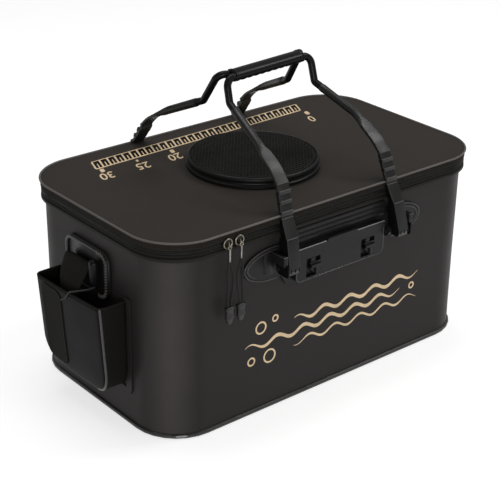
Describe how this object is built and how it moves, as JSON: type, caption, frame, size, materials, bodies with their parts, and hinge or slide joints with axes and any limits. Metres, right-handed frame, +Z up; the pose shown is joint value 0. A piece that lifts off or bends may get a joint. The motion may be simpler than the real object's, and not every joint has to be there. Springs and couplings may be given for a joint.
{
  "type": "folding fishing bucket",
  "caption": "Soft-walled folding fishing bucket with a zipped, vented lid, folding double handle, front accessory rail and an end pocket for an air pump.",
  "frame": {"origin": "centre of the floor's flat underside", "axes": "+X along the length towards the plain end, -Y towards the front with the accessory rail, +Z up"},
  "size_m": [0.5484, 0.324, 0.3814],
  "materials": {
    "foam_sheet": "satin charcoal foam sheet, welded",
    "lid_sheet": "soft satin dark brown-grey sheet",
    "welt": "smooth satin welt",
    "webbing": "woven tape",
    "zip_coil": "woven tape and nylon coil",
    "moulded": "fine-grained moulded plastic",
    "rubber": "satin moulded rubber",
    "gloss": "polished black plastic",
    "screen": "knitted air mesh",
    "slider_metal": "polished antique metal",
    "pin_steel": "plain steel",
    "cord": "braided cord"
  },
  "bodies": {
    "base": {"base_panel": "foam_sheet", "base_bead": "welt", "bucket_wall": "foam_sheet", "pocket_flange": "welt", "pump_pocket": "foam_sheet", "pocket_patch": "webbing", "side_boot": "rubber", "boot_welt": "rubber", "boot_bar": "gloss", "pocket_webbing": "webbing", "pocket_cord": "cord"},
    "rim": {"rim_band": "webbing", "rim_frame": "moulded", "zip_lower": "zip_coil", "rim_hinge_tape": "webbing", "front_plate": "moulded", "rear_plate": "moulded", "front_left_pin": "pin_steel", "front_right_pin": "pin_steel", "rear_left_pin": "pin_steel", "rear_right_pin": "pin_steel", "rail_back": "moulded", "rail_face": "moulded", "rail_ledge": "moulded", "left_socket_clip": "moulded", "right_socket_clip": "moulded", "ridge_strip": "moulded"},
    "lid": {"lid_panel": "lid_sheet", "lid_band": "webbing", "lid_piping": "welt", "zip_upper": "zip_coil", "lid_hinge_tape": "webbing", "vent_ring": "moulded", "vent_rib": "moulded", "vent_mesh": "screen"},
    "front_handle": {"front_left_strap": "rubber", "front_right_strap": "rubber", "front_bar": "gloss", "grip": "gloss"},
    "rear_handle": {"rear_left_strap": "rubber", "rear_right_strap": "rubber", "rear_bar": "gloss"},
    "left_slider": {"left_slider": "slider_metal"},
    "right_slider": {"right_slider": "slider_metal"},
    "left_pull": {"left_pull_tab": "slider_metal", "left_pull_cord": "cord", "left_pull_end": "rubber"},
    "right_pull": {"right_pull_tab": "slider_metal", "right_pull_cord": "cord", "right_pull_end": "rubber"}
  },
  "joints": [
    {"name": "collapse", "type": "slide", "parent": "base", "child": "rim", "axis": [0, 0, 1], "range_m": [-0.13, 0], "deforming": ["bucket_wall", "pocket_flange", "pump_pocket", "pocket_patch", "side_boot", "boot_welt", "boot_bar", "pocket_webbing", "pocket_cord"]},
    {"name": "lid_hinge", "type": "hinge", "parent": "rim", "child": "lid", "pos_m": [0, 0.1478, 0.24001], "axis": [-1, 0, 0], "range_deg": [0, 88]},
    {"name": "front_handle_hinge", "type": "hinge", "parent": "rim", "child": "front_handle", "pos_m": [0, -0.153, 0.19], "axis": [1, 0, 0], "range_deg": [0, 167.3]},
    {"name": "rear_handle_hinge", "type": "hinge", "parent": "rim", "child": "rear_handle", "pos_m": [0, 0.153, 0.19], "axis": [-1, 0, 0], "range_deg": [0, 167.3]},
    {"name": "left_slider_travel", "type": "slide", "parent": "rim", "child": "left_slider", "axis": [1, 0, 0], "range_m": [-0.022, 0]},
    {"name": "right_slider_travel", "type": "slide", "parent": "rim", "child": "right_slider", "axis": [1, 0, 0], "range_m": [0, 0.04]},
    {"name": "left_pull_swing", "type": "hinge", "parent": "left_slider", "child": "left_pull", "pos_m": [-0.1685, -0.1519, 0.23801], "axis": [-1, 0, 0], "range_deg": [0, 100]},
    {"name": "right_pull_swing", "type": "hinge", "parent": "right_slider", "child": "right_pull", "pos_m": [-0.152, -0.1519, 0.23801], "axis": [-1, 0, 0], "range_deg": [0, 100]}
  ],
  "couplings": [
    {"joint": "front_handle_hinge", "follows": "lid_hinge", "ratio": 1.9},
    {"joint": "rear_handle_hinge", "follows": "lid_hinge", "ratio": 1.9}
  ]
}
